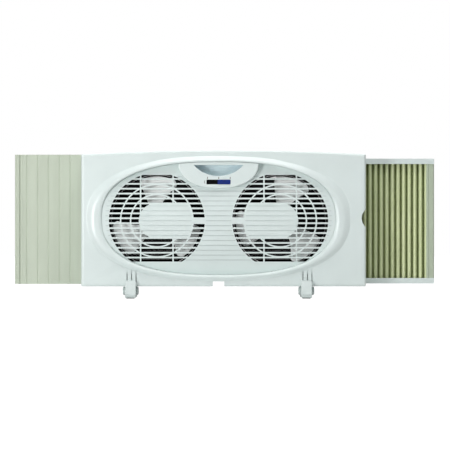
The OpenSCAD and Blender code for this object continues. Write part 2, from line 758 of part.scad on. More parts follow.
module rail() color(shell_white) across(case_right - rail_in, x_hi) difference() {
  translate([exp_y0, exp_z0]) square([exp_d, rail_h]);
  translate([exp_y0 + rail_t, exp_z0 + rail_t]) square([exp_d - 2 * rail_t, rail_h]);
}

// Channel that holds a rail, on a flange that seats on the back wall
module guide() color(shell_white) across(guide_end - guide_l, guide_end) difference() {
  union() {
    translate([exp_y0 - fit - guide_t, exp_z0 - fit - guide_t])
      square([exp_d + 2 * (fit + guide_t), rail_h + 2 * (fit + guide_t)]);
    translate([exp_y1 + fit, exp_z0 + rail_h / 2]) square([y_back - wall - exp_y1 - fit, guide_t]);
  }
  translate([exp_y0 - fit, exp_z0 - fit]) square([exp_d + 2 * fit, rail_h + 2 * fit]);
  translate([exp_y0 + rail_t + fit, exp_z0]) square([exp_d - 2 * rail_t - 2 * fit, 2 * rail_h]);
}

module curtain_anchor() color(curtain_green) difference() {
  block([anchor_x - anchor_w, exp_y0 + rail_t + fit, exp_z0 + rail_t + fit],
    [anchor_x, exp_y1 - rail_t - fit, exp_z1 - rail_t - fit]);
  block([anchor_x - 1, exp_y0, panel_z0], [anchor_x - 0.5, exp_y0 + 1, panel_z1]);
}

module curtain() color(curtain_green) {
  fold = (bar_x - anchor_x) / pleats;
  swing = exp_d / 2 - rail_t - 1.6;
  band = sheet_t / 2 * norm([fold / 2, 2 * swing]) / (fold / 2);
  zig = [for (k = [0 : 2 * pleats]) [anchor_x + k * fold / 2, panel_y + (k % 2 == 0 ? -swing : swing)]];
  upright(exp_z0 + rail_t + fit, exp_z1 - rail_t - fit)
    polygon(concat([for (p = zig) p - [0, band]], flip([for (p = zig) p + [0, band]])));
}

// End bar between the rails, with a bead along its inner edge and a tenon in each rail
module end_bar() color(bar_green) {
  low = exp_z0 + rail_h;
  high = exp_z1 - rail_h;
  half = exp_d / 2 - bar_step;
  upright(low, high) {
    translate([bar_x, panel_y - half]) square([bar_w - bar_r, 2 * half]);
    translate([bar_x, panel_y - half + bar_r]) square([bar_w, 2 * half - 2 * bar_r]);
    for (s = [-1, 1]) {
      translate([x_hi - bar_r, panel_y + s * (half - bar_r)]) circle(r = bar_r);
      translate([bar_x + bead_r, panel_y + s * (exp_d / 2 - bead_r)]) circle(r = bead_r);
    }
  }
  for (z = [[exp_z0 + rail_t, low], [high, exp_z1 - rail_t]])
    block([bar_x, exp_y0 + rail_t, z[0]], [x_hi, exp_y1 - rail_t, z[1]]);
}

// ---------------------------------------------------------------- feet

module foot_side() {
  hull() {
    translate([-foot_y + toe_r, pad_out + toe_r]) circle(r = toe_r, $fn = 32);
    translate([y_face - fit - toe_r, pad_out + toe_r]) circle(r = toe_r, $fn = 32);
    translate([y_face - fit - 4.6, foot_h + foot_up - 4]) circle(r = 4, $fn = 32);
    translate([y_face - fit - 2, foot_h]) square([2, foot_up]);
  }
  hull() {
    translate([foot_y - toe_r, pad_out + toe_r]) circle(r = toe_r, $fn = 32);
    translate([foot_y - toe_r - 11, pad_out + toe_r]) circle(r = toe_r, $fn = 32);
    translate([y_back - 6, foot_h - 5]) circle(r = 5, $fn = 32);
  }
  translate([y_face - 4, foot_h / 2]) square([case_d - 2, foot_h / 2]);
}

module foot_boss() translate([0, y_face + 18, foot_h - 9]) difference() {
  rotate([0, 90, 0]) rotate_extrude() polygon([[0, -boss_w / 2], [6.5, -boss_w / 2], [8.4, -boss_w / 2 + 2],
    [8.4, boss_w / 2 - 2], [6.5, boss_w / 2], [0, boss_w / 2]]);
  for (s = [-1, 1]) translate([s * boss_w / 2, 0, 0]) rod_x(4, -1.5, 1.5);
}

module pad_block() for (s = [-1, 1]) block([-foot_w / 2 + 2.5, s * (foot_y - 12) - 5, 0],
  [foot_w / 2 - 2.5, s * (foot_y - 12) + 5, pad_t]);

module foot(side) color(shell_white) translate([side * foot_x, 0, 0]) difference() {
  union() {
    across(-foot_w / 2, foot_w / 2) foot_side();
    foot_boss();
    block([-peg_w / 2, peg_y0, foot_h - 1], [peg_w / 2, peg_y1, foot_h + peg_h]);
  }
  pad_block();
}

module foot_pads(side) color(rubber) translate([side * foot_x, 0, 0]) pad_block();

// ---------------------------------------------------------------- assembly

module place() translate([-(x_lo + x_hi) / 2, 0, 0]) children();

place() front_housing();
place() rear_housing();
place() front_grille();
place() control_pod();
place() hand_cup();
place() switch_body();
place() switch_knob();
place() duct(-1);  // left_duct
place() duct(1);  // right_duct
place() rear_grille(-1);  // left_rear_grille
place() rear_grille(1);  // right_rear_grille
place() motor_mount(-1);  // left_motor_mount
place() motor_mount(1);  // right_motor_mount
place() motor_can(-1);  // left_motor_can
place() motor_can(1);  // right_motor_can
place() motor_cap(-1);  // left_motor_cap
place() motor_cap(1);  // right_motor_cap
place() shaft(-1);  // left_shaft
place() shaft(1);  // right_shaft
place() rotor(-1);  // left_rotor
place() rotor(1);  // right_rotor
place() impeller(-1);  // left_impeller
place() impeller(1);  // right_impeller
place() hub_nut(-1);  // left_hub_nut
place() hub_nut(1);  // right_hub_nut
place() run_capacitor();
place() cord_inlet();
place() case_screws();
place() filler_panel();
place() filler_strip();
place() at_top() guide();  // top_guide
place() guide();  // bottom_guide
place() curtain_anchor();
place() at_top() rail();  // top_rail
place() rail();  // bottom_rail
place() end_bar();
place() curtain();
place() foot(-1);  // left_foot
place() foot(1);  // right_foot
place() foot_pads(-1);  // left_foot_pads
place() foot_pads(1);  // right_foot_pads
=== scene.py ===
"""Looks of the twin window fan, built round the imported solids."""
import json
import math

import bmesh
import bpy
from mathutils import Matrix, Vector
from mathutils.bvhtree import BVHTree


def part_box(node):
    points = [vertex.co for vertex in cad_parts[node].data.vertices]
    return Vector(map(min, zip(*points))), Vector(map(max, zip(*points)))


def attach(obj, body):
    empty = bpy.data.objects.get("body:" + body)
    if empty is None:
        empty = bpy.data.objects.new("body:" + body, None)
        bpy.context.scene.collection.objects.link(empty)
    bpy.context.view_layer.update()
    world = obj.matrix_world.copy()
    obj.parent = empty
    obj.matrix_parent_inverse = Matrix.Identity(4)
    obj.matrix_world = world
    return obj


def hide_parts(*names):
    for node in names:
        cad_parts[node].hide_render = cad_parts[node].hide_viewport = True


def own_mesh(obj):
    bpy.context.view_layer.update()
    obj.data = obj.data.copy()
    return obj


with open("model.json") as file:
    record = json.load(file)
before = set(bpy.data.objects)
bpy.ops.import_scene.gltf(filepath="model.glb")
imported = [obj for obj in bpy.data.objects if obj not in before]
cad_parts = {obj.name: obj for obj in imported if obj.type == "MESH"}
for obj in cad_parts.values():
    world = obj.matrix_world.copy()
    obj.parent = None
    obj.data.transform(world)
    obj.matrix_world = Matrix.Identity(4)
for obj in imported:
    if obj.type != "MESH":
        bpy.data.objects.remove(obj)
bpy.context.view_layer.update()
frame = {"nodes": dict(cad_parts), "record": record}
nodes = frame["nodes"]
scene = bpy.context.scene
slot_of = {part["node"]: part["material_slot"] for part in frame["record"]["subparts"]}
body_of = {name: body for body, names in frame["record"]["behaviour"]["bodies"].items()
           for name in names}
MM = 0.001
TURN = 2 * math.pi
DEGREE = math.pi / 180


def span(node):
    """Lowest and highest corner of a solid, and its middle."""
    low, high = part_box(node)
    return low, high, (low + high) / 2


def placed(name, data):
    """An object that is in the scene."""
    made = bpy.data.objects.new(name, data)
    scene.collection.objects.link(made)
    return made


# ---------------------------------------------------------------- camera

# A long lens from straight in front; lengths in metres but for the sensor
PICTURE_WIDTH = 0.9
VIEW_DISTANCE = 9.0
VIEW_X = 0.001
VIEW_Z = 0.147
SENSOR = 36.0

face_y = span("front_housing")[0].y
camera = placed("camera", bpy.data.cameras.new("camera"))
camera.data.sensor_width = SENSOR
camera.data.lens = SENSOR * VIEW_DISTANCE / PICTURE_WIDTH
camera.location = (VIEW_X, face_y - VIEW_DISTANCE, VIEW_Z)
camera.rotation_euler = (math.radians(90), 0, 0)
scene.camera = camera
scene.view_settings.view_transform = "Standard"


# ---------------------------------------------------------------- node trees

def add(tree, kind, inputs=None, **settings):
    """A node with its settings, and its inputs set to values or linked to sockets."""
    node = tree.nodes.new(kind)
    for key, value in settings.items():
        setattr(node, key, value)
    for key, value in (inputs or {}).items():
        if isinstance(value, Value):
            value = value.socket
        if isinstance(value, bpy.types.NodeSocket):
            tree.links.new(value, node.inputs[key])
        else:
            node.inputs[key].default_value = value
    return node


class Value:
    """A number inside a node tree, so that a rule reads as a plain sum."""

    def __init__(self, tree, socket):
        self.tree, self.socket = tree, socket

    def math(self, operation, *others, first=None):
        items = [self, *others] if first is None else [first, self]
        node = add(self.tree, "ShaderNodeMath", dict(enumerate(items)), operation=operation)
        return Value(self.tree, node.outputs[0])

    def __add__(self, other):
        return self.math("ADD", other)

    def __sub__(self, other):
        return self.math("SUBTRACT", other)

    def __rsub__(self, other):
        return self.math("SUBTRACT", first=other)

    def __mul__(self, other):
        return self.math("MULTIPLY", other)

    def __truediv__(self, other):
        return self.math("DIVIDE", other)

    def __pow__(self, other):
        return self.math("POWER", other)

    __radd__, __rmul__ = __add__, __mul__


def split(tree, socket):
    """The three parts of a vector."""
    parts = add(tree, "ShaderNodeSeparateXYZ", {0: socket})
    return [Value(tree, out) for out in parts.outputs]


def joined(tree, x, y, z):
    """A vector from its three parts."""
    return add(tree, "ShaderNodeCombineXYZ", {0: x, 1: y, 2: z}).outputs[0]


def ranged(tree, value, start, end, low=0.0, high=1.0, **settings):
    """A value carried over from one range to another, and held at its ends."""
    return add(tree, "ShaderNodeMapRange", {
        "Value": value, "From Min": start, "From Max": end, "To Min": low, "To Max": high},
        **settings).outputs[0]


def blend(tree, share, one, two, **settings):
    """One colour that goes over to another by a share."""
    return add(tree, "ShaderNodeMix", {0: share, 6: one, 7: two}, data_type="RGBA",
               **settings).outputs[2]


def clouds(tree, vector, scale, detail):
    return add(tree, "ShaderNodeTexNoise", {
        "Vector": vector, "Scale": scale, "Detail": detail}).outputs[0]


def fresh_tree(owner):
    """The emptied node tree of a material or a world."""
    owner.use_nodes = True
    owner.node_tree.nodes.clear()
    return owner.node_tree


# ---------------------------------------------------------------- finishes

GRAIN = 2400
# Noise values between which the cloudy colour and the gloss run, and shares of a pleat's depth
# between which its painted shade sets in
CLOUD_SPAN = 0.35, 0.65
GLOSS_SPAN = 0.3, 0.7
FOLD_SPAN = 0.22, 0.85
VALLEY_SHADE_MAX = 0.94


def shade(r, g, b):
    """A colour given as it shows on a screen, 0 to 255."""
    parts = [c / 255 for c in (r, g, b)]
    return [c / 12.92 if c <= 0.04045 else ((c + 0.055) / 1.055) ** 2.4 for c in parts] + [1.0]


# Colour of the painted shade that corners, grooves and recesses take
SHADE_COLOUR = shade(104, 122, 126)


def moulded(name, light, dark, rough, depth=0.03, mottle=16, stretch=(1, 1, 1), lines=None,
            weave=None, valley_shade=None, shade_strength=0.25, **shader):
    """Moulded or pressed material: clouded colour, uneven gloss and a fine grain; lines are drawn
    marks (axis, spacing, depth) and weave a crossed emboss (spacing, depth), in millimetres.
    folds is the colour of the painted shade that a pleated sheet takes in its valleys, by its own
    fold_depth.
    dust is how strongly painted shade darkens corners, grooves and recesses, by the piece's own
    hollow attribute of ray-cast occlusion."""
    made = bpy.data.materials.new(name)
    tree = fresh_tree(made)
    place = add(tree, "ShaderNodeTexCoord").outputs["Object"]
    spread = add(tree, "ShaderNodeMapping", {"Vector": place, "Scale": stretch}).outputs[0]
    cloud = clouds(tree, spread, mottle, 4.0)
    fine = clouds(tree, spread, GRAIN, 2.0)
    tint = blend(tree, ranged(tree, cloud, *CLOUD_SPAN), shade(*dark), shade(*light))
    # Painted shade: the pleats' valleys go darker by their depth
    if valley_shade:
        valley = add(tree, "ShaderNodeAttribute", attribute_name="fold_depth").outputs["Fac"]
        share = ranged(tree, valley, *FOLD_SPAN, high=VALLEY_SHADE_MAX, interpolation_type="SMOOTHSTEP")
        tint = blend(tree, share, tint, shade(*valley_shade))
    # Painted shade: darker where the piece's points are shut in
    occlusion_shade = Value(tree, add(tree, "ShaderNodeAttribute", attribute_name="occlusion_shade").outputs["Fac"])
    tint = blend(tree, occlusion_shade * shade_strength, tint, SHADE_COLOUR, blend_type="MULTIPLY")
    height = Value(tree, fine) * (depth * MM)
    axes = split(tree, place)
    if lines:
        axis, spacing, cut = lines
        turn = axes["xyz".index(axis)] * (TURN / (spacing * MM)) + cloud
        height = height + turn.math("SINE") * (cut * MM)
    if weave:
        spacing, cut = weave
        turn = TURN / (spacing * MM)
        cross = (axes[0] * turn).math("SINE") * (axes[2] * turn).math("SINE")
        height = height + cross * (cut * MM)
    bump = add(tree, "ShaderNodeBump", {"Height": height, "Distance": 1.0, "Strength": 1.0})
    surface = add(tree, "ShaderNodeBsdfPrincipled", {
        "Base Color": tint, "Roughness": ranged(tree, cloud, *GLOSS_SPAN, *rough),
        "Normal": bump.outputs[0], **shader})
    add(tree, "ShaderNodeOutputMaterial", {0: surface.outputs[0]})
    return made


FINISHES = {
    "case_white": moulded(
        "satin_white_moulding", (219, 230, 228), (215, 226, 224), (0.32, 0.35),
        **{"Coat Weight": 0.6, "Coat Roughness": 0.28}),
    # The feet: case white painted darker, as painted shade for the dimmer light low down
    "foot": moulded(
        "case_white_painted_foot_shade", (204, 214, 212), (196, 207, 205), (0.4, 0.46), mottle=60),
    "blade_white": moulded(
        "blade_white", (249, 251, 250), (243, 246, 245), (0.3, 0.4), mottle=30),
    # A little painted shade in the recess, by occlusion
    "recess_grey": moulded(
        "recess_blue_grey", (235, 248, 250), (228, 242, 246), (0.4, 0.5), mottle=40, shade_strength=0.15),
    "switch_blue": moulded(
        "knob_blue", (6, 46, 130), (4, 32, 104), (0.42, 0.5), mottle=160, depth=0.006,
        **{"Specular IOR Level": 0.3}),
    "inner_black": moulded(
        "inner_black", (7, 9, 10), (4, 5, 6), (0.6, 0.75), depth=0.06,
        **{"Specular IOR Level": 0.12}),
    # Its grooves take the full painted shade
    "panel_beige": moulded(
        "panel_warm_grey", (194, 203, 186), (187, 196, 179), (0.5, 0.62),
        stretch=(3, 3, 0.35), lines=("x", 1.7, 0.008), shade_strength=1.0),
    # Sage sheet, with painted shade in the valleys of its pleats
    "curtain_green": moulded(
        "curtain_sage", (241, 248, 209), (233, 241, 199), (0.6, 0.75),
        stretch=(2, 2, 0.6), weave=(0.9, 0.02), valley_shade=(116, 130, 58),
        **{"Sheen Weight": 0.15, "Sheen Roughness": 0.5}),
    "bar_green": moulded(
        "end_bar_grey_green", (186, 197, 176), (176, 188, 167), (0.44, 0.56),
        stretch=(2, 2, 0.4), lines=("y", 1.3, 0.006)),
    "steel": moulded(
        "zinc_plate", (196, 198, 200), (170, 172, 175), (0.28, 0.44), mottle=60,
        stretch=(1, 9, 1), Metallic=1.0),
    "rubber_grey": moulded(
        "foot_rubber", (92, 93, 94), (76, 77, 78), (0.7, 0.85), depth=0.08),
}
# Pieces that take a painted-shade copy of their slot's finish
SHADED_COPY_FINISH = {"left_foot": "foot", "right_foot": "foot"}


def dress(mesh, finish):
    """Gives a mesh one finish alone."""
    mesh.materials.clear()
    mesh.materials.append(finish)


for name, solid in nodes.items():
    dress(solid.data, FINISHES[slot_of[name]])


# ---------------------------------------------------------------- making pieces

SAME_POINT = 1e-6
FUSED_ANGLE = 35


def place_piece(piece, node):
    """The piece stands for a solid, and moves with it."""
    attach(piece, body_of[node])
    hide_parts(node)


def new_piece(name, mesh, finish):
    dress(mesh, finish)
    return placed(name, mesh)


def smooth(mesh, angle):
    """Smooth faces, with an edge kept sharp where it turns by more than the angle."""
    mesh.polygons.foreach_set("use_smooth", [True] * len(mesh.polygons))
    mesh.set_sharp_from_angle(angle=math.radians(angle))
    mesh.update()


def modify(piece, name, kind, **settings):
    """Adds a modifier with its settings."""
    modifier = piece.modifiers.new(name, kind)
    for key, value in settings.items():
        setattr(modifier, key, value)
    return modifier


def settle(piece):
    """Turns a piece and its modifiers into one plain mesh."""
    bpy.context.view_layer.update()
    graph = bpy.context.evaluated_depsgraph_get()
    mesh = bpy.data.meshes.new_from_object(piece.evaluated_get(graph), depsgraph=graph)
    piece.modifiers.clear()
    piece.data = mesh


def merge(shape, distance):
    bmesh.ops.remove_doubles(shape, verts=shape.verts, dist=distance)


def face_outwards(shape):
    bmesh.ops.recalc_face_normals(shape, faces=shape.faces)


def written(shape, mesh):
    """Ends an edit by writing it into a mesh."""
    shape.to_mesh(mesh)
    shape.free()
    return mesh


def looped(items):
    """Each item with the next one, and the last with the first."""
    return zip(items, items[1:] + items[:1])


def grown(name, sizes, rule, finish):
    """A piece from a Geometry Nodes tree made here, with its sizes as named inputs."""
    tree = bpy.data.node_groups.new(name, "GeometryNodeTree")
    tree.interface.new_socket(name="Shape", in_out="OUTPUT", socket_type="NodeSocketGeometry")
    for label, value in sizes.items():
        kind = "NodeSocketInt" if isinstance(value, int) else "NodeSocketFloat"
        tree.interface.new_socket(name=label, in_out="INPUT", socket_type=kind)
    entry = tree.nodes.new("NodeGroupInput")
    shape = rule(tree, {label: Value(tree, entry.outputs[label]) for label in sizes})
    real = add(tree, "GeometryNodeRealizeInstances", {0: shape})
    dressed = add(tree, "GeometryNodeSetMaterial",
                  {"Geometry": real.outputs[0], "Material": finish})
    add(tree, "NodeGroupOutput", {0: dressed.outputs[0]})
    piece = placed(name, bpy.data.meshes.new(name))
    modifier = modify(piece, "shape", "NODES", node_group=tree)
    for item in tree.interface.items_tree:
        if item.in_out == "INPUT":
            modifier[item.identifier] = sizes[item.name]
    settle(piece)
    dress(piece.data, finish)
    return piece


def lathe(name, profile, centre, finish, steps):
    """A turned piece about an axis along y; the profile is (radius, y) in millimetres."""
    shape = bmesh.new()
    rings = []
    for step in range(steps):
        a = TURN * step / steps
        rings.append([shape.verts.new((r * MM * math.cos(a), y * MM, r * MM * math.sin(a)))
                      for r, y in profile])
    for one, two in looped(rings):
        for (a, b), (c, d) in zip(looped(one), looped(two)):
            shape.faces.new((a, b, d, c))
    face_outwards(shape)
    mesh = written(shape, bpy.data.meshes.new(name))
    mesh.transform(Matrix.Translation(centre))
    return new_piece(name, mesh, finish)


def fused(pieces, name, finish):
    """One piece from several."""
    shape = bmesh.new()
    for piece in pieces:
        shape.from_mesh(piece.data)
        bpy.data.objects.remove(piece)
    mesh = written(shape, bpy.data.meshes.new(name))
    smooth(mesh, FUSED_ANGLE)
    return new_piece(name, mesh, finish)


# ---------------------------------------------------------------- painted shade in grooves and corners

RAY_START = 0.08 * MM
# Length of the rays, and the shares of free ones at which a point counts as open and as shut
GROOVES = 5 * MM, 0.36, 0.14
# The hand cup's painted shade reaches far, so that its top is darker
RECESSES = {"hand_cup": (45 * MM, 0.3, 0.04)}


def all_round(count):
    """Directions spread evenly over a ball."""
    golden = math.pi * (3 - math.sqrt(5))
    heights = [1 - (2 * i + 1) / count for i in range(count)]
    return [Vector((math.cos(golden * i) * math.sqrt(1 - h * h),
                    math.sin(golden * i) * math.sqrt(1 - h * h), h))
            for i, h in enumerate(heights)]


WAYS = all_round(28)


def note_occlusion_shade(mesh, reach, open_at, shut_at):
    """Stores how shut in each point is, by the share of its rays that run free for that reach: 0
    from open_at up, as on open faces, and 1 from shut_at down, as deep in a groove. The finishes
    paint shade by it."""
    tree = BVHTree.FromPolygons([v.co for v in mesh.vertices],
                                [list(p.vertices) for p in mesh.polygons])
    shut = []
    for point in mesh.vertices:
        start = point.co + point.normal * RAY_START
        free = sum(tree.ray_cast(start, way, reach)[0] is None for way in WAYS) / len(WAYS)
        shut.append(min(1.0, max(0.0, (open_at - free) / (open_at - shut_at))))
    mesh.attributes.new("occlusion_shade", "FLOAT", "POINT").data.foreach_set("value", shut)


# ---------------------------------------------------------------- mouldings

FLAT_ANGLE = 0.3
CURVE_ANGLE = 30
CORNER_ANGLE = 45
SOFT_EDGES = {
    "front_housing": 0.25, "rear_housing": 0.25, "front_grille": 0.3, "control_pod": 0.3,
    "hand_cup": 0.0, "switch_body": 0.2, "switch_knob": 0.2, "left_duct": 0.0, "right_duct": 0.0,
    "left_motor_mount": 0.3, "right_motor_mount": 0.3, "left_motor_can": 0.5,
    "right_motor_can": 0.5, "left_motor_cap": 0.4, "right_motor_cap": 0.4, "left_hub_nut": 0.4,
    "right_hub_nut": 0.4, "cord_inlet": 0.2, "case_screws": 0.15, "filler_panel": 0.25,
    "filler_strip": 0.2, "top_guide": 0.2, "bottom_guide": 0.2, "curtain_anchor": 0.2,
    "top_rail": 0.3, "bottom_rail": 0.3, "end_bar": 0.3, "left_foot": 0.6, "right_foot": 0.6,
    "left_foot_pads": 0.4, "right_foot_pads": 0.4, "run_capacitor": 0.8,
}


def softened(node, edge):
    """A solid's own shape with smooth curves, and its edges softened by that many millimetres."""
    name = node + "_moulding"
    source = nodes[node].data
    mesh = bpy.data.meshes.new(name)
    mesh.from_pydata([v.co for v in source.vertices], [],
                     [list(p.vertices) for p in source.polygons])
    shape = bmesh.new()
    shape.from_mesh(mesh)
    merge(shape, 2 * SAME_POINT)
    bmesh.ops.dissolve_limit(shape, angle_limit=math.radians(FLAT_ANGLE), verts=shape.verts,
                             edges=shape.edges)
    written(shape, mesh)
    smooth(mesh, CURVE_ANGLE)
    # Ray-cast occlusion, which the finish turns into painted shade
    if edge or node in RECESSES:
        note_occlusion_shade(mesh, *RECESSES.get(node, GROOVES))
    piece = new_piece(name, mesh, FINISHES[SHADED_COPY_FINISH.get(node, slot_of[node])])
    if edge:
        modify(piece, "soft edges", "BEVEL", width=edge * MM, segments=2, limit_method="ANGLE",
               angle_limit=math.radians(CORNER_ANGLE))
    modify(piece, "even shading", "WEIGHTED_NORMAL", keep_sharp=True)
    place_piece(piece, node)


for node, edge in SOFT_EDGES.items():
    softened(node, edge)


# ---------------------------------------------------------------- pleated curtain

PLEATS = 14
PLEAT_STEPS, PLEAT_ROWS = 16, 25
PLEAT_ANGLE = 50
SHEET = 0.45 * MM
SHEET_ROOM = 1.2 * SHEET
CREASE = 0.99
WAVER = 0.35 * MM
WAVER_SCALE, WAVER_SEED = 22.0, 4.0


def pleats(tree, size):
    """A sheet folded in even pleats, with round creases and a slight waver."""
    columns = size["Pleats"] * PLEAT_STEPS + 1
    grid = add(tree, "GeometryNodeMeshGrid", {
        "Size X": 1.0, "Size Y": 1.0, "Vertices X": columns, "Vertices Y": PLEAT_ROWS})
    across, up, _ = split(tree, add(tree, "GeometryNodeInputPosition").outputs[0])
    across, up = across + 0.5, up + 0.5
    # A quarter turn back, so that both ends of the sheet lie on the same side
    turn = (across * size["Pleats"] - 0.25) * TURN
    fold = (turn.math("SINE") * size["Crease"]).math("ARCSINE") / size["Crease"].math("ARCSINE")
    point = joined(tree, across * size["Width"], 0.0, up * size["Height"])
    waver = add(tree, "ShaderNodeTexNoise", {
        "Vector": point, "Scale": WAVER_SCALE, "W": WAVER_SEED, "Detail": 1.0},
        noise_dimensions="4D")
    drift = (Value(tree, waver.outputs[0]) - 0.5) * size["Waver"]
    place = joined(tree, across * size["Width"], fold * size["Swing"] + drift,
                   up * size["Height"])
    return add(tree, "GeometryNodeSetPosition",
               {"Geometry": grid.outputs["Mesh"], "Position": place}).outputs[0]


low, high, middle = span("curtain")
curtain = grown("pleated_curtain", {
    "Pleats": PLEATS, "Width": high.x - low.x, "Height": high.z - low.z,
    "Swing": (high.y - low.y) / 2 - SHEET_ROOM, "Crease": CREASE, "Waver": WAVER},
    pleats, FINISHES["curtain_green"])
curtain.data.transform(Matrix.Translation((low.x, middle.y, low.z)))
modify(curtain, "sheet", "SOLIDIFY", thickness=SHEET, offset=0)
settle(curtain)
smooth(curtain.data, PLEAT_ANGLE)
# Depth into the folds from either face, by which the curtain's finish paints shade in its valleys
fold_depth = curtain.data.attributes.new("fold_depth", "FLOAT", "POINT")
shares = [(v.co.y - low.y) / (high.y - low.y) for v in curtain.data.vertices]
fold_depth.data.foreach_set("value", [share if v.normal.y < 0 else 1 - share for share, v in
                                      zip(shares, curtain.data.vertices)])
place_piece(curtain, "curtain")
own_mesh(curtain)


# ---------------------------------------------------------------- fans

# Sizes of the hub in millimetres; it is a drum, open to the front, with a web at its back
HUB_R, HUB_BORE, HUB_IN, HUB_HALF, WEB = 34.5, 3.05, 32.1, 16.8, 3
HUB_PROFILE = [
    (HUB_BORE, HUB_HALF), (HUB_BORE, HUB_HALF - WEB), (HUB_IN - 1, HUB_HALF - WEB),
    (HUB_IN, HUB_HALF - WEB - 1), (HUB_IN, 0.6 - HUB_HALF), (HUB_IN + 0.6, -HUB_HALF),
    (HUB_R - 0.8, -HUB_HALF), (HUB_R, 0.8 - HUB_HALF), (HUB_R, HUB_HALF - WEB),
    (HUB_R - 0.9, HUB_HALF - 0.9), (HUB_R - 3, HUB_HALF)]
BLADES = 3
BLADE_STEPS, BLADE_ROWS = 19, 13
BLADE_R = 89 * MM
BLADE_SINK = 1.2
BLADE_DEPTH = 22 * MM
BLADE_BOW = 2.4 * MM
BLADE_WALL = 1.8 * MM
BLADE_EDGE = 0.6 * MM
FIRST_BLADE = {"left": 95.0, "right": 80.0}
# A blade's arc in degrees at its root, what it gains on the way out and loses where its tip is
# rounded off, how far it leans back and its tip forwards, and how much flatter it gets
ROOT_ARC, ARC_GAIN, TIP_LOSS = 42, 14, 13
LEAN, TIP_LEAN = 10, 3
TIP_FROM = 0.78
FLATTER = 0.22


def blades(tree, size):
    """Swept blades round a hub: one blade by rule, then turned about the axis."""
    grid = add(tree, "GeometryNodeMeshGrid", {
        "Size X": 1.0, "Size Y": 1.0, "Vertices X": BLADE_STEPS, "Vertices Y": BLADE_ROWS})
    out, chord, _ = split(tree, add(tree, "GeometryNodeInputPosition").outputs[0])
    out = out + 0.5
    radius = size["Root"] + (size["Tip"] - size["Root"]) * out
    tip = (out - TIP_FROM).math("MAXIMUM", 0.0) / (1 - TIP_FROM)
    width = ROOT_ARC + ARC_GAIN * out - TIP_LOSS * tip * tip
    angle = (TIP_LEAN * tip * tip - LEAN * out + chord * width) * DEGREE
    pitch = size["Depth"] * (1 - FLATTER * out)
    bow = (1 - (chord * 2) ** 2.0) * size["Bow"]
    place = joined(tree, radius * angle.math("COSINE"), chord * pitch - bow,
                   radius * angle.math("SINE"))
    blade = add(tree, "GeometryNodeSetPosition",
                {"Geometry": grid.outputs["Mesh"], "Position": place})
    seats = add(tree, "GeometryNodeMeshLine", {"Count": size["Blades"], "Offset": (0, 0, 0)})
    number = Value(tree, add(tree, "GeometryNodeInputIndex").outputs[0])
    turn = (size["First"] + number * 360 / size["Blades"]) * -DEGREE
    return add(tree, "GeometryNodeInstanceOnPoints", {
        "Points": seats.outputs["Mesh"], "Instance": blade.outputs[0],
        "Rotation": joined(tree, 0.0, turn, 0.0)}).outputs[0]


for side, first in FIRST_BLADE.items():
    axle = span(side + "_shaft")[2]
    middle = Vector((axle.x, span(side + "_impeller")[2].y, axle.z))
    fan = grown(side + "_blades", {
        "Blades": BLADES, "First": first, "Root": (HUB_R - BLADE_SINK) * MM, "Tip": BLADE_R,
        "Depth": BLADE_DEPTH, "Bow": BLADE_BOW}, blades, FINISHES["blade_white"])
    modify(fan, "blade wall", "SOLIDIFY", thickness=BLADE_WALL, offset=0)
    modify(fan, "blade edge", "BEVEL", width=BLADE_EDGE, segments=2)
    settle(fan)
    fan.data.transform(Matrix.Translation(middle))
    hub = lathe(side + "_hub", HUB_PROFILE, middle, FINISHES["blade_white"], steps=72)
    place_piece(fused([fan, hub], side + "_fan", FINISHES["blade_white"]), side + "_impeller")


# ---------------------------------------------------------------- back louvres

# The ring is in millimetres
SLAT_SIZES = {"Rows": 9, "Pitch": 9.2 * MM, "Slat thickness": 1.8 * MM,
              "Slat width": 12.8 * MM, "Tilt": 48.0, "Bar": 32.5 * MM}
SLAT_ROUND = 0.45
BAR_WIDE, BAR_DEEP, BAR_ROUND = 3 * MM, 9.4 * MM, 1.2 * MM
RING_WALL, RING_SOFT = 3, 0.6
LOUVRE_ANGLE = 40


def rounded_bar(tree, start, end, wide, thick, fillet):
    """A straight bar from point to point, with a rounded section."""
    line = add(tree, "GeometryNodeCurvePrimitiveLine", {"Start": start, "End": end})
    section = add(tree, "GeometryNodeCurvePrimitiveQuadrilateral",
                  {"Width": wide, "Height": thick})
    soft = add(tree, "GeometryNodeFilletCurve", {
        "Curve": section.outputs[0], "Radius": fillet, "Count": 3, "Limit Radius": True},
        mode="POLY")
    return add(tree, "GeometryNodeCurveToMesh", {
        "Curve": line.outputs[0], "Profile Curve": soft.outputs[0],
        "Fill Caps": True}).outputs[0]


